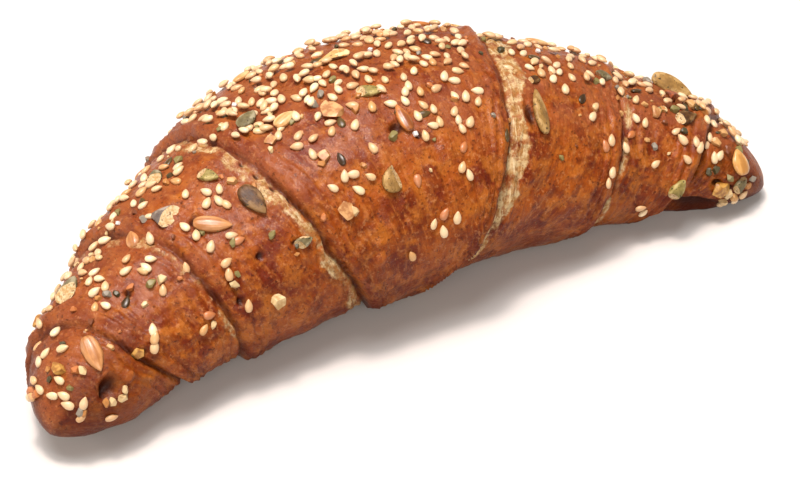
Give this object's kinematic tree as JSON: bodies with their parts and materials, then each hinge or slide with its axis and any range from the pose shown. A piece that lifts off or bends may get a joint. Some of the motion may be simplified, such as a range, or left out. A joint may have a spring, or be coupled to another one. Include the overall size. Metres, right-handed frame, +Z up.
{
  "type": "seeded croissant",
  "caption": "Crescent-shaped seeded croissant of rolled, layered dough with a flat base and seeds baked onto its crust.",
  "frame": {"origin": "under the middle of the overall box, on the flat base", "axes": "+X along the croissant from its left tip to its right tip, -Y towards which both tips point, +Z up"},
  "size_m": [0.2006, 0.0754, 0.0536],
  "materials": {
    "crust": "glossy red-brown lye crust, egg washed, with paler stretched bands at the layer edges",
    "pumpkin_seed": "satin grey-green seed skin over a pale cream inside",
    "sunflower_kernel": "satin toasted cream-brown kernel",
    "nut_piece": "matte broken tan nut flesh"
  },
  "bodies": {
    "root": {"baked_dough": "crust", "pumpkin_seed_01": "pumpkin_seed", "pumpkin_seed_02": "pumpkin_seed", "pumpkin_seed_03": "pumpkin_seed", "pumpkin_seed_04": "pumpkin_seed", "pumpkin_seed_05": "pumpkin_seed", "pumpkin_seed_06": "pumpkin_seed", "pumpkin_seed_07": "pumpkin_seed", "pumpkin_seed_08": "pumpkin_seed", "pumpkin_seed_09": "pumpkin_seed", "pumpkin_seed_10": "pumpkin_seed", "pumpkin_seed_11": "pumpkin_seed", "pumpkin_seed_12": "pumpkin_seed", "pumpkin_seed_13": "pumpkin_seed", "pumpkin_seed_14": "pumpkin_seed", "pumpkin_seed_15": "pumpkin_seed", "pumpkin_seed_16": "pumpkin_seed", "pumpkin_seed_17": "pumpkin_seed", "pumpkin_seed_18": "pumpkin_seed", "pumpkin_seed_19": "pumpkin_seed", "pumpkin_seed_20": "pumpkin_seed", "pumpkin_seed_21": "pumpkin_seed", "sunflower_kernel_01": "sunflower_kernel", "sunflower_kernel_02": "sunflower_kernel", "sunflower_kernel_03": "sunflower_kernel", "sunflower_kernel_04": "sunflower_kernel", "sunflower_kernel_05": "sunflower_kernel", "sunflower_kernel_06": "sunflower_kernel", "sunflower_kernel_07": "sunflower_kernel", "sunflower_kernel_08": "sunflower_kernel", "sunflower_kernel_09": "sunflower_kernel", "sunflower_kernel_10": "sunflower_kernel", "sunflower_kernel_11": "sunflower_kernel", "sunflower_kernel_12": "sunflower_kernel", "sunflower_kernel_13": "sunflower_kernel", "nut_piece_01": "nut_piece", "nut_piece_02": "nut_piece", "nut_piece_03": "nut_piece", "nut_piece_04": "nut_piece", "nut_piece_05": "nut_piece", "nut_piece_06": "nut_piece", "nut_piece_07": "nut_piece", "nut_piece_08": "nut_piece", "nut_piece_09": "nut_piece", "nut_piece_10": "nut_piece", "nut_piece_11": "nut_piece", "nut_piece_12": "nut_piece", "nut_piece_13": "nut_piece", "nut_piece_14": "nut_piece"}
  },
  "joints": []
}
